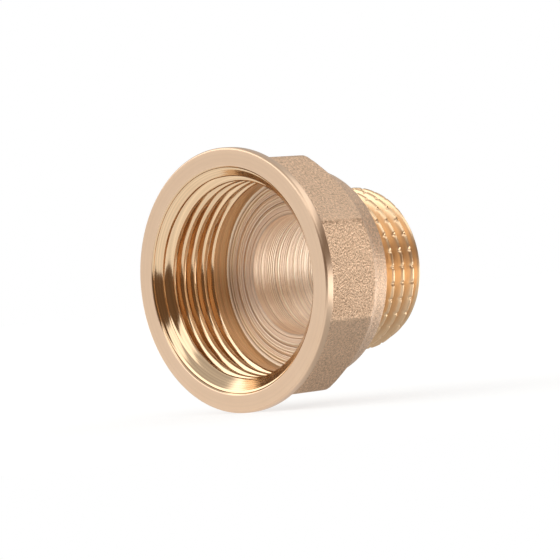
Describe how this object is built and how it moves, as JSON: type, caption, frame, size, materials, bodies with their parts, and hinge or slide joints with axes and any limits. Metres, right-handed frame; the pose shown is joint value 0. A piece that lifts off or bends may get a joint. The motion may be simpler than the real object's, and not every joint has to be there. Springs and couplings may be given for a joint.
{
  "type": "reducing coupling",
  "caption": "One-piece forged brass pipe reducer: a threaded socket with a round collar, an eight-sided wrench body, a tapered neck and a smaller notched threaded spigot.",
  "frame": {"origin": "centre of the open mouth of the socket, in the plane of the collar's front face", "axes": "+Y along the axis of the fitting, from the socket's mouth to the spigot; +Z out of the upper wrench flat"},
  "size_m": [0.033, 0.0243, 0.033],
  "materials": {
    "forged_brass": "hot forged and blasted outside, turned collar, bore and threads"
  },
  "bodies": {
    "root": {"coupling_body": "forged_brass"}
  },
  "joints": []
}
